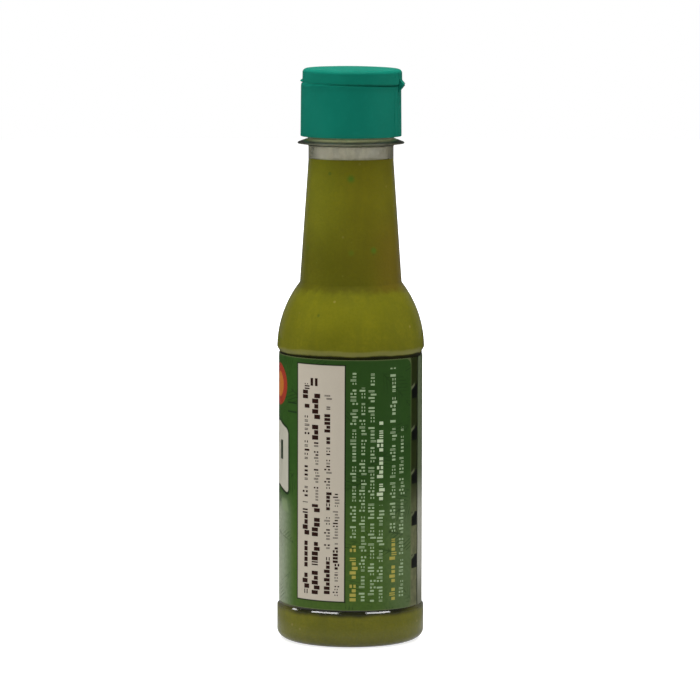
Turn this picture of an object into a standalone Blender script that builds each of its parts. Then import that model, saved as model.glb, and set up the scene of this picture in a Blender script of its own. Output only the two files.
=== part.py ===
# Hot sauce bottle, shut and nearly full: a clear blown bottle with a recessed label
# panel, a round shoulder and a long tapered neck, the sauce inside it, a wrap-round
# label and a flip-top cap moulded in one piece with its lid and living hinge.
# Metres, +Z up. The origin is the centre of the foot, on the surface it stands on.
# The ends of the label meet on the +X side, and the hinge of the lid is at +X.
import math

import bmesh
import bpy

# Shared by all pieces
TURN_STEPS = 60                 # facets round every turned piece
TOUCH_GAP = 0.0003              # kept between pieces that touch
SHARP_EDGE = math.radians(32.0)             # a crease sharper than this stays crisp
ROUND_SEGMENTS = 4              # chords in a small rounding

# Chords in the shoulder, the crest and root of a panel step, and the heel
OUTSIDE_CHORDS = {"shoulder": 8, "crest": 3, "root": 2, "heel": 4}
INSIDE_CHORDS = {"shoulder": 6, "crest": 2, "root": 1, "heel": 3}

# Bottle, outside
BODY_RADIUS = 0.0213
HEEL_ROUND = 0.0030
FOOT_INNER_RADIUS = 0.0156      # the flat foot ring runs from here to the heel
PUSH_UP_HEIGHT = 0.0026         # rise of the middle of the base
PUSH_UP_FLAT_RADIUS = 0.0050
PANEL_RADIUS = 0.0203
PANEL_BOTTOM = 0.0114
PANEL_TOP = 0.0842
STEP_CREST_ROUND = 0.0012       # convex half of the step beside the panel
STEP_ROOT_ROUND = 0.0006        # concave half
SHOULDER_BOTTOM = 0.0870
SHOULDER_ARC_RADIUS = 0.0312
SHOULDER_ARC_LEVEL = 0.0849     # height of the centre of the shoulder's arc
SHOULDER_TOP = 0.1036
NECK_FOOT_RADIUS = 0.01473
NECK_FOOT_LEVEL = 0.1041
NECK_RADIUS = 0.01227           # where the taper ends, under the support ring
TAPER_TOP = 0.1394

# Neck finish with the support ring that carries the bottle on the filling line
RING_RADIUS = 0.01543
RING_LEVEL = 0.1443             # middle of the ring's thin edge
RING_EDGE = 0.0004
RING_UNDER_LEVEL = 0.1438
RING_UNDER_ROUND = 0.0005
FINISH_RADIUS = 0.01245
RING_CONE_TOP = 0.1456
MOUTH_LEVEL = 0.1592
MOUTH_CHAMFER = 0.0004

# Walls of the bottle
BODY_WALL = 0.0007
NECK_WALL = 0.0013
BORE_RADIUS = NECK_RADIUS - NECK_WALL
FLOOR_THICKNESS = 0.0012
FLOOR_CENTRE_THICKNESS = 0.0020

# Sauce
SAUCE_LEVEL = 0.1397

# Label: a film wrapped round the panel, its ends a little apart
LABEL_RADIUS = 0.0208
LABEL_THICKNESS = 0.0002
LABEL_BOTTOM = 0.0119
LABEL_TOP = 0.0835
LABEL_CORNER_ROUND = 0.0015
LABEL_START = math.radians(57.0)            # from -Y towards +X
LABEL_GAP = math.radians(12.0)
LABEL_COLUMNS = 58

# Cap
CAP_BOTTOM = 0.1461
CAP_BOTTOM_RADIUS = 0.01462
CAP_TOP_RADIUS = 0.01452
CAP_BORE_RADIUS = FINISH_RADIUS + TOUCH_GAP
CAP_DECK_UNDERSIDE = MOUTH_LEVEL + TOUCH_GAP
SEAM_BOTTOM = 0.16085
SEAM_TOP = 0.1612
SEAM_DEPTH = 0.0009
LID_BOTTOM_RADIUS = 0.01446
LID_TOP_RADIUS = 0.01435
LID_TOP = 0.1659
LID_ROUND = 0.0009
LID_SHIFT = 0.0003              # the hinge pulls the lid this far towards +X
LIP_ARC_RADIUS = 0.0110
LIP_REACH = 0.01462             # tip of the thumb lip, from the cap's axis
LIP_LEVEL = 0.1620
LIP_HALF_HEIGHT = 0.0005
HINGE_WIDTH = 0.0064
HINGE_REACH = 0.01575
HINGE_ROOT = 0.0130
HINGE_LEVEL = 0.16105
HINGE_HALF_HEIGHT = 0.0014
HINGE_BLUNT = 0.00012
HINGE_SLOT_WIDTH = 0.0007
HINGE_SLOT_DEPTH = 0.0008
HINGE_SLOT_HALF_HEIGHT = 0.0019


def clear_scene():
    for thing in list(bpy.data.objects):
        bpy.data.objects.remove(thing, do_unlink=True)


def make_collection(name):
    collection = bpy.data.collections.new(name)
    bpy.context.scene.collection.children.link(collection)
    return collection


def make_material(name, colour, roughness, transmission=0.0):
    material = bpy.data.materials.new(name)
    material.use_nodes = True
    shader = material.node_tree.nodes["Principled BSDF"]
    shader.inputs["Base Color"].default_value = (*colour, 1.0)
    shader.inputs["Roughness"].default_value = roughness
    shader.inputs["Metallic"].default_value = 0.0
    shader.inputs["Transmission Weight"].default_value = transmission
    return material


def arc(centre_radius, centre_level, radius, start, end, segments):
    """Points on a circle; the angle is 0 outwards and 90 degrees upwards."""
    points = []
    for step in range(segments + 1):
        angle = math.radians(start + (end - start) * step / segments)
        points.append((centre_radius + radius * math.cos(angle),
                       centre_level + radius * math.sin(angle)))
    return points


def panel_step(crest_radius, root_radius, root_level, rise, chords):
    """S-shaped step from the panel (root) out to the full body (crest).

    rise is 1 where the body is above the panel and -1 where it is below.
    Returns the points from the panel outwards.
    """
    both = STEP_CREST_ROUND + STEP_ROOT_ROUND
    turn = math.acos(1.0 - (crest_radius - root_radius) / both)
    crest_level = root_level + rise * both * math.sin(turn)
    turn = math.degrees(turn)
    root = arc(root_radius + STEP_ROOT_ROUND, root_level, STEP_ROOT_ROUND,
               180.0, 180.0 - rise * turn, chords["root"])
    crest = arc(crest_radius - STEP_CREST_ROUND, crest_level, STEP_CREST_ROUND,
                -rise * turn, 0.0, chords["crest"])
    return root + crest[1:]


def shoulder_arc(inset, chords):
    """The round shoulder from top to bottom, moved inwards by inset."""
    radius = SHOULDER_ARC_RADIUS - inset
    centre = BODY_RADIUS - SHOULDER_ARC_RADIUS
    top = math.degrees(math.asin((SHOULDER_TOP - SHOULDER_ARC_LEVEL) / radius))
    bottom = math.degrees(math.asin((SHOULDER_BOTTOM - SHOULDER_ARC_LEVEL) / radius))
    return arc(centre, SHOULDER_ARC_LEVEL, radius, top, bottom, chords["shoulder"])


def wall_outline(inset, floor_level, heel_round, chords):
    """The side wall moved inwards by inset, from the shoulder down round the heel."""
    crest = BODY_RADIUS - inset
    root = PANEL_RADIUS - inset
    upper = panel_step(crest, root, PANEL_TOP, 1, chords)
    lower = panel_step(crest, root, PANEL_BOTTOM, -1, chords)
    heel = arc(crest - heel_round, floor_level + heel_round, heel_round,
               0.0, -90.0, chords["heel"])
    return shoulder_arc(inset, chords) + upper[::-1] + lower + heel


def bottle_outside():
    """From the mouth down the outside to the middle of the base."""
    taper = [(NECK_RADIUS, TAPER_TOP), (NECK_FOOT_RADIUS, NECK_FOOT_LEVEL)]
    under_ring = arc(NECK_RADIUS + RING_UNDER_ROUND, RING_UNDER_LEVEL - RING_UNDER_ROUND,
                     RING_UNDER_ROUND, 90.0, 180.0, 2)
    finish = [
        (FINISH_RADIUS - MOUTH_CHAMFER, MOUTH_LEVEL),
        (FINISH_RADIUS, MOUTH_LEVEL - MOUTH_CHAMFER),
        (FINISH_RADIUS, RING_CONE_TOP),
        (RING_RADIUS, RING_LEVEL + RING_EDGE / 2),
        (RING_RADIUS, RING_LEVEL - RING_EDGE / 2),
    ]
    base = [
        (FOOT_INNER_RADIUS, 0.0),
        (PUSH_UP_FLAT_RADIUS, PUSH_UP_HEIGHT),
        (0.0, PUSH_UP_HEIGHT),
    ]
    wall = wall_outline(0.0, 0.0, HEEL_ROUND, OUTSIDE_CHORDS)
    return finish + under_ring + taper + wall + base


def bottle_inside(gap):
    """The cavity from the top of the taper down to the middle of the floor.

    gap moves the whole outline further into the cavity, for the sauce.
    """
    inset = BODY_WALL + gap
    taper = [
        (BORE_RADIUS - gap, TAPER_TOP),
        (NECK_FOOT_RADIUS - inset, NECK_FOOT_LEVEL),
    ]
    floor_level = FLOOR_THICKNESS + gap
    middle_level = PUSH_UP_HEIGHT + FLOOR_CENTRE_THICKNESS + gap
    wall = wall_outline(inset, floor_level, HEEL_ROUND - gap, INSIDE_CHORDS)
    floor = [
        (FOOT_INNER_RADIUS, floor_level),
        (PUSH_UP_FLAT_RADIUS, middle_level),
        (0.0, middle_level),
    ]
    return taper + wall + floor


def turned(name, outline, collection, material):
    """A solid turned round Z from an outline that runs down its outer side."""
    mesh = bpy.data.meshes.new(name)
    profile = bmesh.new()
    corners = [profile.verts.new((radius, 0.0, level)) for radius, level in outline]
    for first, second in zip(corners, corners[1:]):
        profile.edges.new((first, second))
    profile.to_mesh(mesh)
    profile.free()
    turned_object = bpy.data.objects.new(name, mesh)
    collection.objects.link(turned_object)
    mesh.materials.append(material)
    screw = turned_object.modifiers.new("Turn", "SCREW")
    screw.axis = "Z"
    screw.angle = math.tau
    screw.steps = TURN_STEPS
    screw.render_steps = TURN_STEPS
    screw.use_merge_vertices = True
    screw.merge_threshold = 0.00001
    return turned_object


def settle(thing):
    """Applies the modifiers, and keeps creases crisp between smooth surfaces."""
    depsgraph = bpy.context.evaluated_depsgraph_get()
    mesh = bpy.data.meshes.new_from_object(thing.evaluated_get(depsgraph))
    thing.modifiers.clear()
    thing.data = mesh
    mesh.name = thing.name
    mesh.shade_smooth()
    mesh.set_sharp_from_angle(angle=SHARP_EDGE)


def make_bottle(collection):
    material = make_material("clear_bottle", (0.80, 0.82, 0.76), 0.06, 0.9)
    up_the_bore = bottle_inside(0.0)[::-1]
    mouth = [(BORE_RADIUS, MOUTH_LEVEL)]
    bottle = turned("bottle", up_the_bore + mouth + bottle_outside(), collection, material)
    settle(bottle)


def make_sauce(collection):
    material = make_material("green_sauce", (0.24, 0.22, 0.03), 0.35)
    surface = [(0.0, SAUCE_LEVEL), (BORE_RADIUS - TOUCH_GAP, SAUCE_LEVEL)]
    sauce = turned("sauce", surface + bottle_inside(TOUCH_GAP), collection, material)
    settle(sauce)


def make_label(collection):
    """A flat strip with rounded corners, bent round the bottle and given thickness."""
    material = make_material("printed_label", (0.07, 0.17, 0.04), 0.35)
    sweep = math.tau - LABEL_GAP
    length = LABEL_RADIUS * sweep
    height = LABEL_TOP - LABEL_BOTTOM
    strip = bmesh.new()
    bmesh.ops.create_grid(strip, x_segments=LABEL_COLUMNS, y_segments=1, size=0.5)
    for corner in strip.verts:
        corner.co.x *= length
        corner.co.y *= height
    ends = [v for v in strip.verts if abs(abs(v.co.x) - length / 2) < TOUCH_GAP]
    bmesh.ops.bevel(strip, geom=ends, offset=LABEL_CORNER_ROUND, offset_type="OFFSET",
                    segments=ROUND_SEGMENTS, profile=0.5, affect="VERTICES", material=-1)
    for vertex in strip.verts:
        angle = LABEL_START - (vertex.co.x / length + 0.5) * sweep
        level = vertex.co.y + (LABEL_BOTTOM + LABEL_TOP) / 2
        vertex.co = (LABEL_RADIUS * math.sin(angle), -LABEL_RADIUS * math.cos(angle), level)
    mesh = bpy.data.meshes.new("label")
    strip.to_mesh(mesh)
    strip.free()
    mesh.materials.append(material)
    label = bpy.data.objects.new("label", mesh)
    collection.objects.link(label)
    film = label.modifiers.new("Film", "SOLIDIFY")
    film.thickness = LABEL_THICKNESS
    film.offset = 1.0
    settle(label)


def add_prism(name, outline, width, collection, material):
    """A closed prism along Y, centred on Y = 0, from an outline in X and Z."""
    prism = bmesh.new()
    corners = [prism.verts.new((x, -width / 2, z)) for x, z in outline]
    face = prism.faces.new(corners)
    swept = bmesh.ops.extrude_face_region(prism, geom=[face])
    moved = [item for item in swept["geom"] if isinstance(item, bmesh.types.BMVert)]
    bmesh.ops.translate(prism, verts=moved, vec=(0.0, width, 0.0))
    bmesh.ops.recalc_face_normals(prism, faces=prism.faces)
    mesh = bpy.data.meshes.new(name)
    prism.to_mesh(mesh)
    prism.free()
    mesh.materials.append(material)
    thing = bpy.data.objects.new(name, mesh)
    collection.objects.link(thing)
    return thing


def add_boolean(target, cutter, operation):
    boolean = target.modifiers.new(cutter.name, "BOOLEAN")
    boolean.operation = operation
    boolean.solver = "EXACT"
    boolean.object = cutter
    cutter.hide_render = True
    cutter.display_type = "WIRE"


def make_cap(collection, cutters):
    """Skirt and deck, the shut lid above the seam, the folded hinge and the thumb lip."""
    material = make_material("teal_cap", (0.01, 0.18, 0.12), 0.42)
    core_radius = CAP_TOP_RADIUS - SEAM_DEPTH
    skirt_outline = [
        (0.0, SEAM_TOP + TOUCH_GAP),
        (core_radius, SEAM_TOP + TOUCH_GAP),
        (core_radius, SEAM_BOTTOM),
        (CAP_TOP_RADIUS, SEAM_BOTTOM),
        (CAP_BOTTOM_RADIUS, CAP_BOTTOM),
        (CAP_BORE_RADIUS, CAP_BOTTOM),
        (CAP_BORE_RADIUS, CAP_DECK_UNDERSIDE),
        (0.0, CAP_DECK_UNDERSIDE),
    ]
    cap = turned("cap", skirt_outline, collection, material)

    lid_outline = [(0.0, LID_TOP)]
    lid_outline += arc(LID_TOP_RADIUS - LID_ROUND, LID_TOP - LID_ROUND, LID_ROUND,
                       90.0, 0.0, ROUND_SEGMENTS)
    lid_outline += [(LID_BOTTOM_RADIUS, SEAM_TOP), (0.0, SEAM_TOP)]
    lid = turned("lid_form", lid_outline, cutters, material)
    lid.location.x = LID_SHIFT

    lip_outline = [
        (0.0, LIP_LEVEL + LIP_HALF_HEIGHT),
        (LIP_ARC_RADIUS - LIP_HALF_HEIGHT, LIP_LEVEL + LIP_HALF_HEIGHT),
        (LIP_ARC_RADIUS, LIP_LEVEL),
        (LIP_ARC_RADIUS - LIP_HALF_HEIGHT, LIP_LEVEL - LIP_HALF_HEIGHT),
        (0.0, LIP_LEVEL - LIP_HALF_HEIGHT),
    ]
    lip = turned("lip_form", lip_outline, cutters, material)
    lip.location.x = LIP_ARC_RADIUS - LIP_REACH

    hinge_outline = [
        (HINGE_ROOT, HINGE_LEVEL - HINGE_HALF_HEIGHT),
        (CAP_TOP_RADIUS, HINGE_LEVEL - HINGE_HALF_HEIGHT),
        (HINGE_REACH, HINGE_LEVEL - HINGE_BLUNT),
        (HINGE_REACH, HINGE_LEVEL + HINGE_BLUNT),
        (CAP_TOP_RADIUS, HINGE_LEVEL + HINGE_HALF_HEIGHT),
        (HINGE_ROOT, HINGE_LEVEL + HINGE_HALF_HEIGHT),
    ]
    hinge = add_prism("hinge_form", hinge_outline, HINGE_WIDTH, cutters, material)

    for form in (lid, lip, hinge):
        add_boolean(cap, form, "UNION")

    slot_floor = CAP_TOP_RADIUS - HINGE_SLOT_DEPTH
    slot_outline = [
        (slot_floor, HINGE_LEVEL - HINGE_SLOT_HALF_HEIGHT),
        (HINGE_REACH + TOUCH_GAP, HINGE_LEVEL - HINGE_SLOT_HALF_HEIGHT),
        (HINGE_REACH + TOUCH_GAP, HINGE_LEVEL + HINGE_SLOT_HALF_HEIGHT),
        (slot_floor, HINGE_LEVEL + HINGE_SLOT_HALF_HEIGHT),
    ]
    for side, name in ((-1, "slot_front"), (1, "slot_back")):
        slot = add_prism(name, slot_outline, HINGE_SLOT_WIDTH, cutters, material)
        slot.location.y = side * (HINGE_WIDTH + HINGE_SLOT_WIDTH) / 2
        slot.location.x = -HINGE_SLOT_DEPTH / 2
        add_boolean(cap, slot, "DIFFERENCE")
    settle(cap)


clear_scene()
parts = make_collection("hot_sauce_bottle")
cutting_forms = make_collection("forms")
make_bottle(parts)
make_sauce(parts)
make_label(parts)
make_cap(parts, cutting_forms)
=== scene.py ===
import math

import bmesh
import bpy
from mathutils import Matrix, Vector


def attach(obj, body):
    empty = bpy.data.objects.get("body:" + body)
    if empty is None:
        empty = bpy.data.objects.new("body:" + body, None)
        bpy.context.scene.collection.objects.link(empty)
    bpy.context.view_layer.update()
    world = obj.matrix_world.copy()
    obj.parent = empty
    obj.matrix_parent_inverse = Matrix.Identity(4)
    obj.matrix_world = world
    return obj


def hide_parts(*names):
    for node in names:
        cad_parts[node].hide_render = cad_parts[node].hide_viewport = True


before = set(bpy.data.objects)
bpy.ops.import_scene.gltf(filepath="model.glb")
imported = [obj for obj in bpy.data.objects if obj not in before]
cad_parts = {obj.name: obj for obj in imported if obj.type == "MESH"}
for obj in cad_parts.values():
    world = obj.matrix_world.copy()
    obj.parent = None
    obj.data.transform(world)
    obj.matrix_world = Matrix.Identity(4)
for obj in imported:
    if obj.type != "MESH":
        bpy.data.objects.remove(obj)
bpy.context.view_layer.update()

# The bottle stands on a white table in a pale tent. Five large lamps fill it with light and
# three small ones high up leave glints. The camera looks slightly down from 1.25 metres.
scene = bpy.context.scene
scene.view_settings.view_transform = "Standard"

CAMERA_PLACE = (-0.0002, -1.25, 0.215)
CAMERA_TILT, CAMERA_ROLL = 84.024, 0.09     # degrees from straight down, and sideways
lens = bpy.data.cameras.new("camera")
lens.sensor_width = 36.0
lens.lens = 223.10
lens.clip_start = 0.05
camera = bpy.data.objects.new("camera", lens)
camera.location = CAMERA_PLACE
camera.rotation_euler = (Matrix.Rotation(math.radians(CAMERA_TILT), 3, "X")
                         @ Matrix.Rotation(math.radians(CAMERA_ROLL), 3, "Z")).to_euler()
scene.collection.objects.link(camera)
scene.camera = camera


def add_node(tree, kind, **values):
    """A node of this kind; each value goes to a property, or else to an input socket."""
    node = tree.nodes.new("ShaderNode" + kind)
    for key, value in values.items():
        if hasattr(node, key):
            setattr(node, key, value)
        else:
            feed(tree, node.inputs[key.replace("_", " ")], value)
    return node


def feed(tree, socket, value):
    """Links a socket to the input, or sets the number or colour on it."""
    if isinstance(value, bpy.types.NodeSocket):
        tree.links.new(value, socket)
    else:
        socket.default_value = value


def calc(tree, operation, *values, clamp=False):
    """The output of a Math node on one, two or three numbers or sockets."""
    node = tree.nodes.new("ShaderNodeMath")
    node.operation = operation
    node.use_clamp = clamp
    for socket, value in zip(node.inputs, values):
        feed(tree, socket, value)
    return node.outputs[0]


def ramp(tree, value, low, high, at_low=0.0, at_high=1.0, smooth=True):
    """Runs from one number to another while the value goes from low to high."""
    node = tree.nodes.new("ShaderNodeMapRange")
    node.interpolation_type = "SMOOTHSTEP" if smooth else "LINEAR"
    for socket, number in zip(node.inputs, (value, low, high, at_low, at_high)):
        feed(tree, socket, number)
    return node.outputs[0]


def mix_shaders(tree, share, first, second):
    node = tree.nodes.new("ShaderNodeMixShader")
    for socket, value in zip(node.inputs, (share, first, second)):
        feed(tree, socket, value)
    return node.outputs[0]


def blank_material(name):
    """A material with only its output node."""
    material = bpy.data.materials.new(name)
    material.use_nodes = True
    material.node_tree.nodes.clear()
    output = material.node_tree.nodes.new("ShaderNodeOutputMaterial")
    return material, material.node_tree, output.inputs["Surface"]


tent = bpy.data.worlds.new("tent")
tent.use_nodes = True
scene.world = tent
tree = tent.node_tree
tree.nodes.clear()
axes = add_node(tree, "SeparateXYZ", Vector=add_node(tree, "TexCoord").outputs["Generated"])
path = add_node(tree, "LightPath")
mirrored = calc(tree, "ADD", 0.03, calc(tree, "MULTIPLY", 0.08, ramp(
    tree, axes.outputs[1], 0.56, 0.86)))
backdrop = ramp(tree, axes.outputs[1], 0.88, 0.985, 0.06, 1.0)
through = path.outputs["Is Transmission Ray"]
glow = calc(tree, "ADD", calc(tree, "MULTIPLY", through, backdrop),
            calc(tree, "MULTIPLY", calc(tree, "SUBTRACT", 1.0, through), mirrored))
glow = calc(tree, "MAXIMUM", glow, path.outputs["Is Camera Ray"])
sky = add_node(tree, "Background", Color=(1.0, 1.0, 1.0, 1.0), Strength=glow)
feed(tree, tree.nodes.new("ShaderNodeOutputWorld").inputs[0], sky.outputs[0])

# place, width, depth, turn on the spot, power, and whether the lamp shows in reflections
LAMPS = {
    "strip_left": ((-0.42, 0.19, 1.25), 0.62, 0.40, -36.0, 2.2, True),
    "strip_right": ((0.46, 0.22, 1.25), 0.58, 0.40, 36.0, 2.05, True),
    "strip_far": ((-1.00, 1.05, 1.25), 0.36, 0.42, 44.0, 1.1, True),
    "fill_front": ((0.0, -1.3, 1.9), 1.8, 1.2, None, 8.5, False),
    "fill_left": ((-1.9, -0.4, 0.35), 1.4, 1.2, None, 11.3, False),
    "fill_right": ((1.9, -0.4, 0.5), 1.4, 1.2, None, 6.8, False),
    "fill_back": ((0.0, 2.0, 0.9), 1.8, 1.2, None, 12.0, False),
    "fill_top": ((0.0, -0.1, 1.9), 1.2, 1.2, None, 35.5, False),
}
for name, (place, width, depth, turn, power, reflected) in LAMPS.items():
    glow = bpy.data.lights.new(name, "AREA")
    glow.shape = "RECTANGLE"
    glow.size = width
    glow.size_y = depth
    glow.energy = power
    lamp = bpy.data.objects.new(name, glow)
    lamp.location = place
    if turn is None:
        lamp.rotation_euler = (Vector((0.0, 0.0, 0.08)) - lamp.location).to_track_quat(
            "-Z", "Y").to_euler()
    else:
        lamp.rotation_euler = (0.0, 0.0, math.radians(turn))
    lamp.visible_camera = False
    lamp.visible_glossy = reflected
    lamp.visible_transmission = reflected
    scene.collection.objects.link(lamp)

table, tree, surface = blank_material("white_table")
paint = add_node(tree, "BsdfDiffuse", Color=(0.62, 0.62, 0.62, 1.0))
path = add_node(tree, "LightPath")
reach = add_node(tree, "VectorMath", operation="LENGTH")
feed(tree, reach.inputs[0], add_node(tree, "TexCoord").outputs["Object"])
reach = reach.outputs["Value"]
bright = add_node(tree, "Emission", Strength=ramp(tree, reach, 0.1, 0.5, 0.80, 1.0))
both = add_node(tree, "AddShader")
feed(tree, both.inputs[0], paint.outputs[0])
feed(tree, both.inputs[1], bright.outputs[0])
sheen = add_node(tree, "Emission", Strength=calc(
    tree, "ADD", ramp(tree, reach, 0.03, 0.06, 0.20, 0.0),
    ramp(tree, reach, 0.10, 0.35, 0.20, 0.04)))
mirrored = calc(tree, "MAXIMUM", path.outputs["Is Glossy Ray"],
                path.outputs["Is Transmission Ray"])
feed(tree, surface, mix_shaders(tree, path.outputs["Is Camera Ray"], mix_shaders(
    tree, mirrored, paint.outputs[0], sheen.outputs[0]), both.outputs[0]))

TABLE_RADIUS, TABLE_LEVEL = 2.6, -0.0001
disc = bmesh.new()
bmesh.ops.create_circle(disc, cap_ends=True, segments=96, radius=TABLE_RADIUS)
bmesh.ops.translate(disc, verts=disc.verts, vec=(0.0, 0.0, TABLE_LEVEL))
floor_mesh = bpy.data.meshes.new("table_top")
disc.to_mesh(floor_mesh)
disc.free()
floor_mesh.materials.append(table)
floor = bpy.data.objects.new("table_top", floor_mesh)
scene.collection.objects.link(floor)

# The bottle: one blown piece of clear polyester, its neck finish and support ring as
# moulded before blowing. It stands on a flat foot ring round a raised middle.
MM = 0.001
BODY_RADIUS = 21.3
PANEL_RADIUS = 20.62
PANEL_BOTTOM, PANEL_TOP = 10.8, 84.1
SHOULDER_ARC_RADIUS, SHOULDER_ARC_LEVEL = 31.2, 84.9
SHOULDER_BOTTOM, SHOULDER_TOP = 87.0, 103.6
NECK_FOOT = (14.73, 104.1)
NECK_TOP = (12.27, 139.4)
BORE_RADIUS = 10.97
BODY_WALL, FLOOR_THICKNESS = 0.7, 0.8
HEEL_WIDTH, INNER_HEEL_WIDTH, HEEL_HEIGHT = 3.9, 3.6, 3.0
FOOT_RING_RADIUS, PUSH_UP_RADIUS, GATE_RADIUS = 15.6, 5.0, 2.0
MOUTH_LEVEL = 159.2
FINISH_RADIUS = 12.45
PUSH_UP, FLOOR_MIDDLE = 2.6, 4.6


def arc(centre_radius, centre_level, radius, start, end, steps):
    """Points on a circle in a turned outline; 0 degrees is outwards and 90 is up."""
    points = []
    for step in range(steps + 1):
        angle = math.radians(start + (end - start) * step / steps)
        points.append((centre_radius + radius * math.cos(angle),
                       centre_level + radius * math.sin(angle)))
    return points


def panel_step(inset, root_level, rise, crest_round, root_round, slope):
    """The sloping step from the label panel out to the full body, moved in by inset."""
    turn = math.radians(slope)
    rounds = crest_round + root_round
    face = (BODY_RADIUS - PANEL_RADIUS - rounds * (1.0 - math.cos(turn))) / math.sin(turn)
    crest_level = root_level + rise * (rounds * math.sin(turn) + face * math.cos(turn))
    root = arc(PANEL_RADIUS - inset + root_round, root_level, root_round,
               180.0, 180.0 - rise * slope, 5)
    crest = arc(BODY_RADIUS - inset - crest_round, crest_level, crest_round,
                -rise * slope, 0.0, 6)
    return root + crest


def body_outline(inset, floor_level, heel_width, heel_height):
    """From the top of the shoulder down the wall and round the heel, moved in by inset."""
    radius = SHOULDER_ARC_RADIUS - inset
    top = math.degrees(math.asin((SHOULDER_TOP - SHOULDER_ARC_LEVEL) / radius))
    bottom = math.degrees(math.asin((SHOULDER_BOTTOM - SHOULDER_ARC_LEVEL) / radius))
    shoulder = arc(BODY_RADIUS - SHOULDER_ARC_RADIUS, SHOULDER_ARC_LEVEL, radius,
                   top, bottom, 28)
    heel = [((BODY_RADIUS - inset) - heel_width * (1.0 - across),
             floor_level + heel_height * (1.0 - down))
            for across, down in ((math.cos(turn), math.sin(turn))
                                 for turn in (math.pi / 24 * step for step in range(13)))]
    upper = panel_step(inset, PANEL_TOP, 1, 0.8, 0.4, 30.0)
    lower = panel_step(inset, PANEL_BOTTOM, -1, 0.4, 0.25, 50.0)
    return shoulder + upper[::-1] + lower + heel


def cavity_outline(inset, floor_level, floor_middle):
    """From the top of the neck's taper down the inside to the middle of the floor."""
    wall = body_outline(inset, floor_level, INNER_HEEL_WIDTH, HEEL_HEIGHT)
    taper = [(NECK_TOP[0] - (NECK_TOP[0] - BORE_RADIUS) * inset / BODY_WALL, NECK_TOP[1]),
             (NECK_FOOT[0] - inset, NECK_FOOT[1])]
    return taper + wall + [(FOOT_RING_RADIUS, floor_level), (PUSH_UP_RADIUS, floor_middle),
                           (0.0, floor_middle)]


def finished(name, shape, material, node=None, crease=35.0):
    """Turns a bmesh into a piece that rides on the bottle, with its finish and slot."""
    mesh = bpy.data.meshes.new(name)
    shape.to_mesh(mesh)
    shape.free()
    mesh.materials.append(material)
    mesh.shade_smooth()
    mesh.set_sharp_from_angle(angle=math.radians(crease))
    piece = bpy.data.objects.new(name, mesh)
    scene.collection.objects.link(piece)
    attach(piece, "root")
    if node:
        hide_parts(node)
    return piece


def turned(outline, steps):
    """A closed form spun round the bottle's axis from an outline in millimetres."""
    shape = bmesh.new()
    dots = [shape.verts.new((radius * MM, 0.0, level * MM)) for radius, level in outline]
    lines = [shape.edges.new(pair) for pair in zip(dots, dots[1:])]
    bmesh.ops.spin(shape, geom=dots + lines, cent=(0.0, 0.0, 0.0), axis=(0.0, 0.0, 1.0),
                   angle=math.tau, steps=steps, use_merge=True, use_duplicate=False)
    bmesh.ops.remove_doubles(shape, verts=shape.verts, dist=0.0000002)
    bmesh.ops.recalc_face_normals(shape, faces=shape.faces)
    return shape


def blend_colours(tree, share, first, second):
    """Goes from the first colour to the second as the share goes from 0 to 1."""
    node = tree.nodes.new("ShaderNodeMix")
    node.data_type = "RGBA"
    for index, value in ((0, share), (6, first), (7, second)):
        if index and not isinstance(value, bpy.types.NodeSocket):
            value = (*value, 1.0)
        feed(tree, node.inputs[index], value)
    return node.outputs[2]


def place_noise(tree, scale, detail=2.0, squeeze=(1.0, 1.0, 1.0)):
    """Noise in the object's own space; scale is the number of grains in a metre."""
    where = add_node(tree, "Mapping", Scale=squeeze,
                     Vector=add_node(tree, "TexCoord").outputs["Object"])
    noise = add_node(tree, "TexNoise", Scale=scale, Detail=detail, Vector=where.outputs[0])
    return noise.outputs[0]


def bump(tree, height, distance, strength=1.0):
    """The normal of a surface raised by this height; distance is in metres."""
    return add_node(tree, "Bump", Height=height, Distance=distance,
                    Strength=strength).outputs[0]


clear, tree, surface = blank_material("clear_polyester")
spot = add_node(tree, "SeparateXYZ", Vector=add_node(tree, "TexCoord").outputs["Object"])
# The support ring, its colour painted with light and shade: a yellow-green painted reflection of
# the sauce and cap at its root, painted shade towards the rim, painted shadow underneath and a
# painted highlight on the very edge. It is rougher than the blown wall
squares = [calc(tree, "MULTIPLY", spot.outputs[axis], spot.outputs[axis]) for axis in (0, 1)]
wide = calc(tree, "SQRT", calc(tree, "ADD", *squares))
height = spot.outputs[2]
in_ring = calc(tree, "MULTIPLY", ramp(tree, wide, 0.0118, 0.0121),
               calc(tree, "MULTIPLY", ramp(tree, height, 0.14335, 0.1436),
                    ramp(tree, height, 0.1458, 0.1455)))
tint = blend_colours(tree, ramp(tree, wide, 0.0132, 0.0143), (0.70, 0.82, 0.40),
                     (0.035, 0.045, 0.03))
tint = blend_colours(tree, ramp(tree, height, 0.1444, 0.1441), tint, (0.045, 0.05, 0.03))
tint = blend_colours(tree, ramp(tree, wide, 0.01522, 0.01536), tint, (0.45, 0.47, 0.40))
body = blend_colours(tree, in_ring, (0.96, 0.975, 0.95), tint)
gloss = add_node(tree, "BsdfPrincipled", Base_Color=body, IOR=1.575, Transmission_Weight=1.0)
rough = ramp(tree, place_noise(tree, 300.0, 3.0), 0.35, 0.75, 0.03, 0.06)
rough = calc(tree, "ADD", rough, calc(tree, "MULTIPLY", in_ring, 0.30))
feed(tree, gloss.inputs["Roughness"], rough)
# The step under the label is the glossiest part, and catches the high lamps
on_step = calc(tree, "MULTIPLY", ramp(tree, wide, 0.02055, 0.02060), calc(
    tree, "MULTIPLY", ramp(tree, height, 0.0096, 0.0102), ramp(tree, height, 0.0124, 0.0116)))
feed(tree, gloss.inputs["Coat Weight"], on_step)
gloss.inputs["Coat Roughness"].default_value = 0.08
gloss.inputs["Coat IOR"].default_value = 2.2
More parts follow.
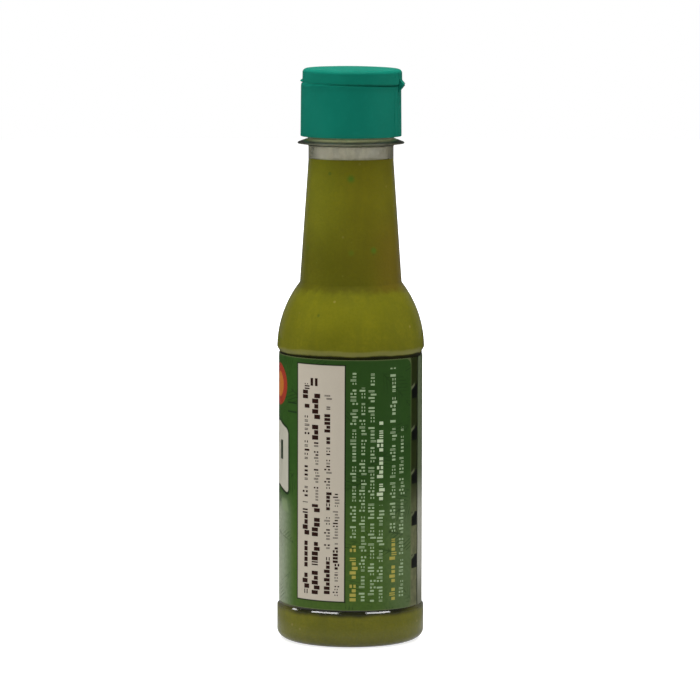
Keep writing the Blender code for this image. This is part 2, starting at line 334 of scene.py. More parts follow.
# The blown wall swells slowly and has a fine ripple above the step
ripple = ramp(tree, height, 0.0130, 0.0160, 0.0, 0.04)
swell = calc(tree, "ADD", place_noise(tree, 45.0, 1.0, (1.0, 1.0, 0.35)),
             calc(tree, "MULTIPLY", place_noise(tree, 500.0, 2.0), ripple))
feed(tree, gloss.inputs["Normal"], bump(tree, swell, 0.0006, 0.2))
lit = add_node(tree, "BsdfTransparent", Color=(0.90, 0.91, 0.88, 1.0))
path = add_node(tree, "LightPath")
passing = calc(tree, "MAXIMUM", path.outputs["Is Shadow Ray"], path.outputs["Is Diffuse Ray"])
feed(tree, surface, mix_shaders(tree, passing, gloss.outputs[0], lit.outputs[0]))

ring_cone = [(FINISH_RADIUS, 145.6), (15.2, 144.62)] + arc(15.23, 144.3, 0.2, 60.0, -60.0, 5)
neck_finish = [(BORE_RADIUS, MOUTH_LEVEL - 0.3), (BORE_RADIUS + 0.3, MOUTH_LEVEL),
               (FINISH_RADIUS - 0.4, MOUTH_LEVEL), (FINISH_RADIUS, MOUTH_LEVEL - 0.4)]
under_ring = arc(NECK_TOP[0] + 0.6, 143.2, 0.6, 90.0, 180.0, 5)
base = [(FOOT_RING_RADIUS, 0.0), (FOOT_RING_RADIUS - 0.6, 0.15),
        (PUSH_UP_RADIUS + 0.4, PUSH_UP - 0.1), (PUSH_UP_RADIUS, PUSH_UP),
        (GATE_RADIUS + 0.2, PUSH_UP), (GATE_RADIUS, PUSH_UP - 0.35), (0.0, PUSH_UP - 0.45)]
outside = neck_finish + ring_cone + under_ring + [NECK_TOP, NECK_FOOT]
outside += body_outline(0.0, 0.0, HEEL_WIDTH, HEEL_HEIGHT) + base
inside = cavity_outline(BODY_WALL, FLOOR_THICKNESS, FLOOR_MIDDLE)
finished("clear_bottle", turned(inside[::-1] + outside, 240), clear, "bottle")

# The sauce: a thick olive-green purée with specks of ground pepper and seed. It fills
# the bottle to just under the support ring and wets the wall all round. It is darker
# low in the neck and behind the label, where little light gets into it.
SAUCE_LEVEL = 139.5
REACH = 0.25                                # how far the sauce goes into the wall


def specks(tree, scale, size, share, core=0.6):
    """Sparse grains: 1 in a grain's core and 0 outside it, in this share of the cells."""
    cells = add_node(tree, "TexVoronoi", Scale=scale,
                     Vector=add_node(tree, "TexCoord").outputs["Object"])
    picked = add_node(tree, "SeparateColor", Color=cells.outputs["Color"])
    near = ramp(tree, cells.outputs["Distance"], size, size * core)
    return calc(tree, "MULTIPLY", near, calc(tree, "LESS_THAN", picked.outputs[0], share))


puree, tree, surface = blank_material("green_sauce")
cloud = ramp(tree, place_noise(tree, 110.0, 4.0), 0.3, 0.7)
grain = ramp(tree, place_noise(tree, 1300.0, 3.0), 0.3, 0.7)
olive = blend_colours(tree, cloud, (0.204, 0.195, 0.0085), (0.246, 0.231, 0.0110))
olive = blend_colours(tree, calc(tree, "MULTIPLY", grain, 0.35), olive, (0.150, 0.152, 0.006))
streak = ramp(tree, place_noise(tree, 380.0, 3.0, (1.0, 1.0, 0.12)), 0.42, 0.72, 0.0, 0.45)
olive = blend_colours(tree, streak, olive, (0.172, 0.168, 0.010))
olive = blend_colours(tree, calc(tree, "MULTIPLY", specks(tree, 330.0, 0.20, 0.10), 0.6), olive,
                      (0.055, 0.100, 0.012))
olive = blend_colours(tree, calc(tree, "MULTIPLY", specks(tree, 420.0, 0.20, 0.07), 0.5), olive,
                      (0.42, 0.36, 0.09))
# Painted light and shade: a painted highlight makes the middle of the shoulder paler, painted
# shade makes it dark low in the neck and black behind the label, and a painted reflection makes
# a pale band above the label. It is also paler at the left of the neck, warmer on the hinge side
# and rusty low in the neck
spot = add_node(tree, "SeparateXYZ", Vector=add_node(tree, "TexCoord").outputs["Object"])
across = spot.outputs[0]
level = calc(tree, "ADD", spot.outputs[2],
             calc(tree, "MULTIPLY", place_noise(tree, 160.0, 2.0), 0.0012))
# Painted highlight: paler in the middle of the shoulder, which faces the lamps
painted_shoulder_light = calc(tree, "MULTIPLY", ramp(tree, level, 0.1015, 0.0985, 0.0, 0.20),
            calc(tree, "MULTIPLY", ramp(tree, level, 0.0880, 0.0950),
                 ramp(tree, calc(tree, "ABSOLUTE", across), 0.017, 0.004)))
olive = blend_colours(tree, painted_shoulder_light, olive, (0.345, 0.325, 0.0135))
warm = calc(tree, "MULTIPLY", ramp(tree, level, 0.1000, 0.1100, 0.0, 0.5),
            ramp(tree, across, -0.009, 0.005))
olive = blend_colours(tree, warm, olive, (0.248, 0.204, 0.0100))
paler_left = calc(tree, "MULTIPLY", ramp(tree, across, 0.0030, -0.0125, 0.0, 0.30),
            ramp(tree, level, 0.1080, 0.1240))
olive = blend_colours(tree, paler_left, olive, (0.33, 0.33, 0.028))
neck_root = calc(tree, "ADD", level, calc(tree, "MULTIPLY", place_noise(tree, 380.0, 2.0), 0.0030))
neck_root = ramp(tree, neck_root, 0.1026, 0.1056)
# Painted shade: darker low in the neck
painted_neck_shade = calc(tree, "MULTIPLY", ramp(tree, level, 0.1375, 0.1080, 0.0, 0.50), neck_root)
olive = blend_colours(tree, painted_neck_shade, olive, (0.050, 0.046, 0.003))
rusty = calc(tree, "MULTIPLY", ramp(tree, level, 0.1290, 0.1130, 0.0, 0.35),
             ramp(tree, across, 0.0035, 0.0115))
olive = blend_colours(tree, calc(tree, "MULTIPLY", rusty, neck_root), olive, (0.240, 0.140, 0.012))
# Painted shade: near black behind the label, with dark lines at the steps above and below it; the
# lower line is lighter at the round sides
shade = calc(tree, "MULTIPLY", ramp(tree, level, 0.0092, 0.0106, 0.10, 0.90),
             ramp(tree, level, 0.0853, 0.0845))
middling = calc(tree, "ABSOLUTE", across)
round_side = calc(tree, "MAXIMUM", ramp(tree, middling, 0.0135, 0.0190, 1.0, 0.45),
                  ramp(tree, level, 0.030, 0.050))
shade = calc(tree, "MULTIPLY", shade, round_side)
olive = blend_colours(tree, shade, olive, (0.004, 0.006, 0.0003))
# Painted reflection: a pale band on the step above the label
painted_step_reflection = calc(tree, "MULTIPLY", ramp(tree, level, 0.0849, 0.0853, 0.0, 0.6),
            ramp(tree, level, 0.0866, 0.0861))
olive = blend_colours(tree, painted_step_reflection, olive, (0.31, 0.30, 0.080))
shreds = calc(tree, "MULTIPLY", specks(tree, 150.0, 0.24, 0.17, 0.1), 0.8)
olive = blend_colours(tree, shreds, olive, (0.065, 0.205, 0.016))
flesh = add_node(tree, "BsdfPrincipled", Base_Color=olive, Roughness=0.45, IOR=1.4)
flesh.inputs["Specular IOR Level"].default_value = 0.12
feed(tree, flesh.inputs["Normal"], bump(tree, grain, 0.00008, 0.4))
feed(tree, surface, flesh.outputs[0])

filling = [(0.0, SAUCE_LEVEL)]
filling += [(BORE_RADIUS + out, SAUCE_LEVEL + climb)
            for out, climb in ((-1.6, 0.0), (-0.6, 0.1), (-0.1, 0.25), (REACH, 0.3))]
filling += cavity_outline(BODY_WALL - REACH, FLOOR_THICKNESS - REACH, FLOOR_MIDDLE - REACH)
finished("sauce_filling", turned(filling, 160), puree, "sauce")

# Sauce has splashed up inside the neck and dried to a thin murky film, thicker in
# streaks and under the cap.
film_bottom, film_top = SAUCE_LEVEL + 0.3, 157.5
dried, tree, surface = blank_material("dried_film")
level = add_node(tree, "SeparateXYZ", Vector=add_node(tree, "TexCoord").outputs["Object"])
height = level.outputs[2]
streaks = place_noise(tree, 420.0, 4.0, (1.0, 1.0, 0.6))
patches = place_noise(tree, 130.0, 2.0)
thick = calc(tree, "MULTIPLY", streaks, calc(tree, "ADD", patches, 0.4))
cover = ramp(tree, thick, 0.30, 0.62, 0.42, 0.66)
greener = ramp(tree, height, 0.1448, 0.1458)
cover = calc(tree, "ADD", cover, calc(tree, "MULTIPLY", greener, 0.2))
tint = blend_colours(tree, greener, (0.80, 0.74, 0.57), (0.24, 0.36, 0.18))
tint = blend_colours(tree, ramp(tree, streaks, 0.55, 0.70, 0.0, 0.6), tint, (0.20, 0.20, 0.13))
# Painted shade: the film is darker towards its left and right edges
sides = ramp(tree, calc(tree, "ABSOLUTE", level.outputs[0]), 0.0078, 0.0108, 0.0, 0.65)
tint = blend_colours(tree, sides, tint, (0.22, 0.22, 0.15))
# Browner and darker towards the right
browner_right = ramp(tree, level.outputs[0], 0.001, 0.009, 0.0, 0.40)
tint = blend_colours(tree, browner_right, tint, (0.30, 0.26, 0.18))
skin = add_node(tree, "BsdfPrincipled", Base_Color=tint, Roughness=0.5, Alpha=cover)
skin.inputs["Specular IOR Level"].default_value = 0.2
feed(tree, skin.inputs["Normal"], bump(tree, thick, 0.0002, 0.5))
feed(tree, surface, skin.outputs[0])
tube = [(BORE_RADIUS + 0.06, film_bottom), (BORE_RADIUS + 0.06, film_top),
        (BORE_RADIUS + 0.02, film_top), (BORE_RADIUS + 0.02, film_bottom),
        (BORE_RADIUS + 0.06, film_bottom)]
finished("dried_splash", turned(tube, 96), dried)

# The label: printed plastic film wrapped round the panel, with rounded corners. It is
# leaf green with a pale panel, small print run up the bottle, a badge and a plaque.
LABEL_RADIUS = 20.8
LABEL_BOTTOM, LABEL_TOP = 11.1, 83.38
LABEL_LEFT, LABEL_RIGHT = -291.0, 57.0      # degrees from the front towards the hinge
DEGREE = math.radians(LABEL_RADIUS)         # millimetres along the film
FILM_TILT = 0.011                           # the film went on a little askew


def wrapped_film(left_end, right_end, low, high, outer, inner, corner, columns):
    """A rounded strip bent round the axis; its UV map is millimetres along and up."""
    length = DEGREE * (right_end - left_end)
    middle = (low + high) / 2
    strip = bmesh.new()
    bmesh.ops.create_grid(strip, x_segments=columns, y_segments=12, size=0.5)
    for spot in strip.verts:
        spot.co.x *= length
        spot.co.y *= high - low
    corners = [v for v in strip.verts if abs(abs(v.co.x) - length / 2) < 0.01
               and abs(abs(v.co.y) - (high - low) / 2) < 0.01]
    bmesh.ops.bevel(strip, geom=corners, offset=corner, offset_type="OFFSET", segments=6,
                    profile=0.5, affect="VERTICES", material=-1)
    bmesh.ops.solidify(strip, geom=strip.faces, thickness=1.0)
    place = strip.loops.layers.uv.new("millimetres")
    for face in strip.faces:
        for loop in face.loops:
            spot = loop.vert.co
            loop[place].uv = (left_end * DEGREE + spot.x + length / 2, spot.y + middle)
    highest = max(spot.co.z for spot in strip.verts)
    for spot in strip.verts:
        angle = math.radians(left_end) + (spot.co.x + length / 2) / LABEL_RADIUS
        radius = outer if spot.co.z > highest - 0.5 else inner
        spot.co = (radius * MM * math.sin(angle), -radius * MM * math.cos(angle),
                   (spot.co.y + middle - FILM_TILT * radius * math.sin(angle)) * MM)
    bmesh.ops.recalc_face_normals(strip, faces=strip.faces)
    return strip


def between(tree, value, low, high, soft=0.06):
    """1 where the value is between low and high, with a soft edge, and 0 outside."""
    rising = ramp(tree, value, low - soft, low + soft, smooth=False)
    falling = ramp(tree, value, high - soft, high + soft, 1.0, 0.0, smooth=False)
    return calc(tree, "MULTIPLY", rising, falling)


def patch(tree, along, up, left, right, low, high, soft=0.06):
    return calc(tree, "MULTIPLY", between(tree, along, left, right, soft),
                between(tree, up, low, high, soft))


def small_print_group():
    """Rows of small plain blocks, grouped like words, that stand for small print."""
    group = bpy.data.node_groups.new("small_print", "ShaderNodeTree")
    names = ("Along", "Up", "Left", "Right", "Low", "High", "Pitch", "Fill", "Seed")
    for name in names:
        group.interface.new_socket(name, in_out="INPUT", socket_type="NodeSocketFloat")
    group.interface.new_socket("Ink", in_out="OUTPUT", socket_type="NodeSocketFloat")
    given = group.nodes.new("NodeGroupInput").outputs
    run = calc(group, "DIVIDE", calc(group, "SUBTRACT", given["Up"], given["Low"]),
               given["Pitch"])
    count = calc(group, "FLOOR", run)
    place = calc(group, "SUBTRACT", calc(group, "FRACT", run), 0.5)
    draws = []
    for shift in (0.0, 41.7):
        noise = add_node(group, "TexWhiteNoise", noise_dimensions="1D")
        number = calc(group, "ADD", count, calc(group, "ADD", given["Seed"], shift))
        feed(group, noise.inputs["W"], number)
        draws.append(noise.outputs["Value"])
    kind, cut = draws
    beat = calc(group, "FRACT", calc(group, "ADD", calc(group, "MULTIPLY", count, 0.1732),
                                     given["Seed"]))
    off = calc(group, "ABSOLUTE", place)
    block = calc(group, "LESS_THAN", off, calc(group, "MULTIPLY", given["Fill"], 0.5))
    block = calc(group, "MULTIPLY", block, calc(group, "GREATER_THAN", beat, 0.15))
    width = calc(group, "SUBTRACT", given["Right"], given["Left"])
    across = calc(group, "DIVIDE", calc(group, "SUBTRACT", given["Along"], given["Left"]), width)
    head = calc(group, "MULTIPLY", calc(group, "GREATER_THAN", kind, 0.36), 0.28)
    foot = calc(group, "ADD", 0.78, calc(group, "MULTIPLY",
                                         calc(group, "GREATER_THAN", kind, 0.90), 0.22))
    tall = calc(group, "MULTIPLY", calc(group, "GREATER_THAN", across, head),
                calc(group, "LESS_THAN", across, foot))
    middle = calc(group, "MULTIPLY", calc(group, "ADD", head, foot), 0.5)
    split = calc(group, "LESS_THAN", calc(group, "ABSOLUTE", calc(
        group, "SUBTRACT", across, middle)), 0.10)
    bold = calc(group, "MAXIMUM", calc(group, "SUBTRACT", given["Fill"], 0.5), 0.0)
    few = calc(group, "SUBTRACT", 0.38, bold)
    split = calc(group, "MULTIPLY", split, calc(group, "LESS_THAN", cut, few))
    slit = calc(group, "LESS_THAN", off, calc(group, "MULTIPLY", given["Fill"], 0.14))
    slit = calc(group, "MULTIPLY", slit, calc(group, "GREATER_THAN", cut,
                                             calc(group, "SUBTRACT", 1.0, few)))
    solid = calc(group, "SUBTRACT", 1.0, calc(group, "MAXIMUM", split, slit))
    run_end = calc(group, "MULTIPLY", calc(group, "GREATER_THAN", given["Up"], given["Low"]),
                   calc(group, "LESS_THAN", given["Up"], given["High"]))
    ink = calc(group, "MULTIPLY", calc(group, "MULTIPLY", block, tall),
               calc(group, "MULTIPLY", run_end, solid))
    feed(group, group.nodes.new("NodeGroupOutput").inputs[0], ink)
    return group


# Each row of print: left, right, then stretches of low, high, pitch and fill.
PANEL_PRINT = (
    (-14.95, -12.55, (15.3, 42.0, 1.55, 0.84), (43.2, 68.0, 1.20, 0.50), (69.0, 76.2, 1.35, 0.82)),
    (-11.65, -9.05, (15.3, 41.5, 1.40, 0.82), (60.0, 75.0, 1.50, 0.86)),
    (-12.20, -9.20, (75.2, 78.6, 3.00, 0.75)),
    (-11.00, -9.15, (42.4, 59.4, 0.86, 0.54)),
    (-7.70, -5.45, (15.6, 27.7, 1.22, 0.80), (28.6, 38.0, 0.88, 0.50), (38.8, 45.2, 1.10, 0.80),
     (46.0, 58.4, 0.88, 0.50), (59.0, 70.0, 1.10, 0.80), (70.8, 73.2, 0.88, 0.50)),
    (-5.05, -3.15, (15.1, 22.2, 0.84, 0.46), (22.8, 29.4, 0.98, 0.74), (30.0, 45.1, 0.84, 0.46)),
)
PALE_PRINT = (
    (-0.10, 2.05, (32.0, 80.0, 0.96, 0.56)),
    (2.50, 4.62, (13.7, 75.5, 0.96, 0.56)),
    (5.12, 7.46, (13.5, 79.7, 0.96, 0.56)),
    (7.82, 10.12, (13.4, 41.6, 0.96, 0.56)),
    (11.98, 14.40, (33.4, 64.0, 0.98, 0.56), (65.0, 81.0, 1.10, 0.64)),
    (15.35, 17.55, (14.4, 63.7, 1.02, 0.54)),
)
BRIGHT_PRINT = ((7.75, 10.20, (42.8, 65.9, 1.28, 0.72)),)
GOLD_PRINT = (
    (-0.15, 2.10, (13.7, 30.0, 1.30, 0.70)),
    (11.90, 14.40, (13.6, 32.0, 1.30, 0.70)),
)

film, tree, surface = blank_material("printed_film")
print_group = small_print_group()
place = add_node(tree, "UVMap", uv_map="millimetres")
axes = add_node(tree, "SeparateXYZ", Vector=place.outputs[0])
along, up = axes.outputs[0], axes.outputs[1]
leaning = calc(tree, "ADD", along, calc(tree, "MULTIPLY",
                                        calc(tree, "SUBTRACT", 48.0, up), 0.002))


def print_rows(rows, seed):
    """All the rows of one ink in one mask."""
    mask = None
    for left, right, *stretches in rows:
        for low, high, pitch, fill in stretches:
            row = tree.nodes.new("ShaderNodeGroup")
            row.node_tree = print_group
            seed += 7.31
            values = (leaning, up, left, right, low, high, pitch, fill, seed)
            for socket, value in zip(row.inputs, values):
                feed(tree, socket, value)
            mask = calc(tree, "MAXIMUM", mask, row.outputs[0]) if mask else row.outputs[0]
    return mask


# Leaf motif: a leaf in each cell, its veins slanting from the midrib
cells = add_node(tree, "TexVoronoi", Scale=0.075, Randomness=0.75, voronoi_dimensions="2D",
                 Vector=place.outputs[0])
offset = add_node(tree, "VectorMath", operation="SUBTRACT")
feed(tree, offset.inputs[0], place.outputs[0])
feed(tree, offset.inputs[1], cells.outputs["Position"])
turn = calc(tree, "MULTIPLY", add_node(tree, "SeparateColor",
                                       Color=cells.outputs["Color"]).outputs[0], math.tau)
turned_place = add_node(tree, "VectorRotate", rotation_type="Z_AXIS", Angle=turn,
                        Vector=offset.outputs[0])
rib = add_node(tree, "SeparateXYZ", Vector=turned_place.outputs[0])
side = calc(tree, "ABSOLUTE", rib.outputs[1])
slant = calc(tree, "SUBTRACT", rib.outputs[0], calc(tree, "MULTIPLY", side, 1.1))
vein = calc(tree, "ABSOLUTE", calc(tree, "SUBTRACT",
                                   calc(tree, "FRACT", calc(tree, "DIVIDE", slant, 1.5)), 0.5))
vein = ramp(tree, vein, 0.09, 0.17, 1.0, 0.0)
bulge = calc(tree, "SUBTRACT", 1.0, calc(tree, "POWER", calc(tree, "DIVIDE", rib.outputs[0], 7.5),
                                         2.0))
in_leaf = calc(tree, "LESS_THAN", side, calc(tree, "MULTIPLY", bulge, 4.2))
midrib = calc(tree, "LESS_THAN", side, 0.22)
leaf = calc(tree, "MULTIPLY", calc(tree, "MAXIMUM", vein, midrib), in_leaf)
worn = ramp(tree, add_node(tree, "TexNoise", Scale=0.16, Detail=2.0,
                           Vector=place.outputs[0]).outputs[0], 0.42, 0.62)
leaf = calc(tree, "MULTIPLY", leaf, worn)

# Green field: deep green by the small print, brighter round to the left, paler below
to_left = ramp(tree, along, -14.0, -19.0)
below = ramp(tree, up, 56.0, 24.0)
green = blend_colours(tree, to_left, (0.030, 0.088, 0.012), (0.038, 0.112, 0.014))
green = blend_colours(tree, calc(tree, "MULTIPLY", below, 0.75), green, (0.094, 0.172, 0.024))
# Painted sheen: paler low on the left, where the film turns away
painted_left_sheen = calc(tree, "MULTIPLY", ramp(tree, along, -17.8, -28.0, 0.0, 0.90),
                 ramp(tree, up, 45.0, 37.0))
green = blend_colours(tree, painted_left_sheen, green, (0.49, 0.54, 0.40))
# Paler and greyer towards the right, low down
paler_right_low = calc(tree, "MULTIPLY", ramp(tree, along, 6.0, 19.0, 0.0, 0.25),
                ramp(tree, up, 52.0, 34.0))
green = blend_colours(tree, paler_right_low, green, (0.25, 0.28, 0.20))
mottle = ramp(tree, add_node(tree, "TexNoise", Scale=0.9, Detail=4.0,
                             Vector=place.outputs[0]).outputs[0], 0.3, 0.7, 0.0, 0.22)
green = blend_colours(tree, mottle, green, (0.020, 0.066, 0.010))
green = blend_colours(tree, calc(tree, "MULTIPLY", leaf, 0.62), green, (0.013, 0.040, 0.006))

# Badge, two dashes and a plaque with a dark outline and a plain chilli, on the front
from_badge = add_node(tree, "VectorMath", operation="DISTANCE")
feed(tree, from_badge.inputs[0], place.outputs[0])
feed(tree, from_badge.inputs[1], (-28.4, 74.7, 0.0))
distance = from_badge.outputs["Value"]
green = blend_colours(tree, ramp(tree, distance, 6.2, 6.05), green, (0.42, 0.045, 0.020))
green = blend_colours(tree, ramp(tree, distance, 3.8, 3.6), green, (0.62, 0.200, 0.030))
for level_up in (67.4, 70.0):
    dash = patch(tree, along, up, -21.8, -17.5, level_up - 0.2, level_up + 0.2)
    green = blend_colours(tree, dash, green, (0.010, 0.035, 0.008))


def rounded_box(left, right, low, high, corner, rise=up):
    """How far outside a rounded rectangle on the film, in millimetres."""
    sides = []
    for value, one, other in ((along, left, right), (rise, low, high)):
        middle, half = (one + other) / 2, (other - one) / 2 - corner
        away = calc(tree, "ABSOLUTE", calc(tree, "SUBTRACT", value, middle))
        sides.append(calc(tree, "MAXIMUM", calc(tree, "SUBTRACT", away, half), 0.0))
    square = [calc(tree, "MULTIPLY", one, one) for one in sides]
    return calc(tree, "SUBTRACT", calc(tree, "SQRT", calc(tree, "ADD", *square)), corner)


drop = calc(tree, "MAXIMUM", calc(tree, "ADD", along, 28.0), 0.0)
bent = calc(tree, "ADD", up, calc(tree, "MULTIPLY", drop, 0.32))
plaque = rounded_box(-88.0, -21.6, 45.4, 64.0, 1.4, bent)
green = blend_colours(tree, ramp(tree, plaque, 0.75, 0.6), green, (0.012, 0.030, 0.008))
green = blend_colours(tree, ramp(tree, plaque, 0.05, -0.1), green, (0.60, 0.58, 0.47))
for left, right, low, high in ((-27.2, -25.2, 53.0, 58.6), (-85.0, -83.0, 53.0, 58.6)):
    bar = patch(tree, along, up, left, right, low, high, 0.12)
    green = blend_colours(tree, bar, green, (0.016, 0.034, 0.010))
dots = []
for middle, height, size, edge in ((-57.0, 60.0, 11.0, -0.1), (-53.0, 67.5, 13.5, 0.1),
                                   (-65.6, 58.5, 2.6, -0.1)):
    dot = add_node(tree, "VectorMath", operation="DISTANCE")
    feed(tree, dot.inputs[0], place.outputs[0])
    feed(tree, dot.inputs[1], (middle, height, 0.0))
    dots.append(ramp(tree, dot.outputs["Value"], size, size + edge))
chilli = calc(tree, "MULTIPLY", calc(tree, "MULTIPLY", dots[0], dots[1]),
              ramp(tree, up, 58.8, 58.7))
stalk = calc(tree, "MAXIMUM", dots[2], patch(tree, along, up, -66.3, -65.2, 60.0, 62.6))
green = blend_colours(tree, calc(tree, "MAXIMUM", chilli, stalk), green, (0.022, 0.070, 0.012))
ribbon = calc(tree, "ADD", along, calc(tree, "MULTIPLY", calc(tree, "SUBTRACT", up, 40.0), 0.25))
sweep = calc(tree, "MULTIPLY", between(tree, ribbon, -26.0, -22.0, 0.5),
             between(tree, up, 38.2, 41.6, 0.5))
green = blend_colours(tree, calc(tree, "MULTIPLY", sweep, 0.6), green, (0.30, 0.40, 0.20))

# Pale panel with a thin dark rule round it, and the print on it and beside it
panel = (-16.90, -1.76, 13.75, 81.65)
rule = patch(tree, leaning, up, panel[0] - 0.40, panel[1] + 0.40, panel[2] - 0.35, panel[3] + 0.35)
green = blend_colours(tree, rule, green, (0.016, 0.026, 0.008))
paper_noise = add_node(tree, "TexNoise", Scale=2.2, Detail=3.0, Vector=place.outputs[0])
paper = blend_colours(tree, paper_noise.outputs[0], (0.625, 0.555, 0.448), (0.670, 0.608, 0.492))
green = blend_colours(tree, patch(tree, leaning, up, *panel), green, paper)
green = blend_colours(tree, print_rows(PANEL_PRINT, 3.0), green, (0.030, 0.008, 0.004))
green = blend_colours(tree, print_rows(PALE_PRINT, 300.0), green, (0.40, 0.52, 0.30))
green = blend_colours(tree, print_rows(BRIGHT_PRINT, 500.0), green, (0.62, 0.72, 0.48))
green = blend_colours(tree, print_rows(GOLD_PRINT, 700.0), green, (0.48, 0.42, 0.08))

# A painted highlight along the cut edge of the film, where it catches the light
inner_edge = rounded_box(LABEL_LEFT * DEGREE, LABEL_RIGHT * DEGREE, LABEL_BOTTOM, LABEL_TOP, 2.6)
green = blend_colours(tree, ramp(tree, inner_edge, -0.30, -0.12, 0.0, 0.8), green,
                      (0.150, 0.185, 0.070))

# The far end of the film, seen at the right of the photo, fades into a pale margin
margin = ramp(tree, along, LABEL_LEFT * DEGREE + 6.5, LABEL_LEFT * DEGREE + 4.5)
# Partly painted sheen: the pale margin is the film's own paler end and a painted sheen where it
# turns away
margin_and_sheen = blend_colours(tree, ramp(tree, up, 52.0, 36.0), (0.137, 0.177, 0.092),
                     (0.500, 0.500, 0.415))
margin_and_sheen = blend_colours(tree, ramp(tree, up, 24.0, 12.0, 0.0, 0.7), margin_and_sheen, (0.110, 0.118, 0.050))
green = blend_colours(tree, margin, green, margin_and_sheen)
cover = add_node(tree, "BsdfPrincipled", Base_Color=green, IOR=1.5)
cover.inputs["Specular IOR Level"].default_value = 0.25
feed(tree, cover.inputs["Roughness"], ramp(tree, paper_noise.outputs[0], 0.3, 0.7, 0.30, 0.42))
ripple = add_node(tree, "TexNoise", Scale=0.12, Detail=2.0, Vector=place.outputs[0])
feed(tree, cover.inputs["Normal"], bump(tree, ripple.outputs[0], 0.0004, 0.35))
feed(tree, surface, cover.outputs[0])
label_shape = wrapped_film(LABEL_LEFT, LABEL_RIGHT, LABEL_BOTTOM, LABEL_TOP, LABEL_RADIUS,
                           LABEL_RADIUS - 0.1, 2.6, 232)
finished("printed_label", label_shape, film, "label", 60.0)

# The other end of the film: it lies on the bottle between the two ends, with a margin in painted
# shade, dark at the top and paler below, and the dark register marks that the wrapping machine
# reads.
tail, tree, surface = blank_material("label_tail")
place = add_node(tree, "UVMap", uv_map="millimetres")
axes = add_node(tree, "SeparateXYZ", Vector=place.outputs[0])
along, up = axes.outputs[0], axes.outputs[1]
tail_print_and_shade = blend_colours(tree, ramp(tree, up, 50.0, 33.0), (0.022, 0.032, 0.003),
                      (0.195, 0.205, 0.100))
tail_print_and_shade = blend_colours(tree, ramp(tree, add_node(tree, "TexNoise", Scale=0.5, Detail=4.0,
                                                Vector=place.outputs[0]).outputs[0],
                                 0.3, 0.7, 0.0, 0.4), tail_print_and_shade, (0.020, 0.026, 0.006))
for middle in (73.8, 61.6, 49.0, 36.8, 24.4):
    mark = patch(tree, along, up, 21.2, 24.6, middle - 2.3, middle + 1.7)
    slope = calc(tree, "SUBTRACT", up, calc(tree, "MULTIPLY", calc(tree, "SUBTRACT", along, 20.8),
                                            0.55))
    wedge = patch(tree, along, slope, 20.9, 22.9, middle + 0.1, middle + 1.0, 0.12)
    tail_print_and_shade = blend_colours(tree, mark, tail_print_and_shade, (0.003, 0.004, 0.002))
    tail_print_and_shade = blend_colours(tree, wedge, tail_print_and_shade, (0.15, 0.17, 0.09))
# Painted shadow: a dark line where the far end of the label begins
tail_print_and_shade = blend_colours(tree, between(tree, along, 24.55, 25.1, 0.1), tail_print_and_shade, (0.006, 0.010, 0.003))
cover = add_node(tree, "BsdfPrincipled", Base_Color=tail_print_and_shade, Roughness=0.35, IOR=1.5)
cover.inputs["Specular IOR Level"].default_value = 0.2
feed(tree, cover.inputs["Normal"], bump(tree, add_node(
    tree, "TexNoise", Scale=0.3, Detail=2.0, Vector=place.outputs[0]).outputs[0], 0.0003, 0.3))
feed(tree, surface, cover.outputs[0])
tail_shape = wrapped_film(LABEL_RIGHT - 1.0, LABEL_RIGHT + 13.0, LABEL_BOTTOM + 0.1,
                          LABEL_TOP - 0.1, LABEL_RADIUS - 0.11, LABEL_RADIUS - 0.16, 0.1, 16)
finished("label_tail", tail_shape, tail, None, 60.0)

# The cap: one moulding of satin blue-green polypropylene, screwed on the neck. The lid
# is shut on its deck, with a folded living hinge on the right and a thumb lip on the left.
CAP_BOTTOM, CAP_TOP = 146.2, 165.9
CAP_BOTTOM_RADIUS, CAP_TOP_RADIUS = 14.57, 14.45
CAP_BORE_RADIUS = 12.75
SEAM_BOTTOM, SEAM_TOP = 160.75, 161.3
HINGE_LEVEL, HINGE_HALF = 160.9, 1.4
HINGE_REACH, HINGE_SPREAD = 15.5, 17.4
LIP_LEVEL, LIP_HALF = 162.1, 0.55
LIP_ARC_RADIUS, LIP_REACH = 5.0, 15.05
LID_SHIFT = 0.35
SLOT_SPREAD, SLOT_DEPTH = 20.5, 0.45

skirt = [(0.0, 159.5), (CAP_BORE_RADIUS, 159.5), (CAP_BORE_RADIUS, CAP_BOTTOM + 0.15),
         (CAP_BORE_RADIUS + 0.15, CAP_BOTTOM)]
skirt += arc(CAP_BOTTOM_RADIUS - 0.25, CAP_BOTTOM + 0.25, 0.25, -90.0, 0.0, 4)
skirt += [(CAP_BOTTOM_RADIUS - 0.12 * (level - CAP_BOTTOM) / 14.0, level)
          for level in (147.5, 150.0, 152.5, 155.0, 157.5, 159.0, 159.12, 159.18, 159.4, 159.65,
                        159.8, 160.2, 160.6)]
skirt += [(14.44, 160.66), (14.36, SEAM_BOTTOM), (14.16, SEAM_BOTTOM + 0.02), (14.02, 160.84),
          (13.99, HINGE_LEVEL), (14.02, 161.24), (14.16, SEAM_TOP)]
skirt += [(14.30, SEAM_TOP + 0.02), (14.38, 161.40), (14.38, 161.50), (14.38, 161.82),
          (14.38, LIP_LEVEL), (14.38, 162.38), (14.37, 162.58), (14.37, 162.68), (14.37, 162.85),
          (14.36, 162.95), (14.36, 163.05), (14.35, 163.8), (14.34, 164.35)]
skirt += arc(13.08, 164.22, 1.3, 12.0, 86.0, 12)
skirt += [(10.5, 165.68), (8.0, 165.78), (5.0, 165.87), (2.5, 165.91), (0.0, 165.92)]

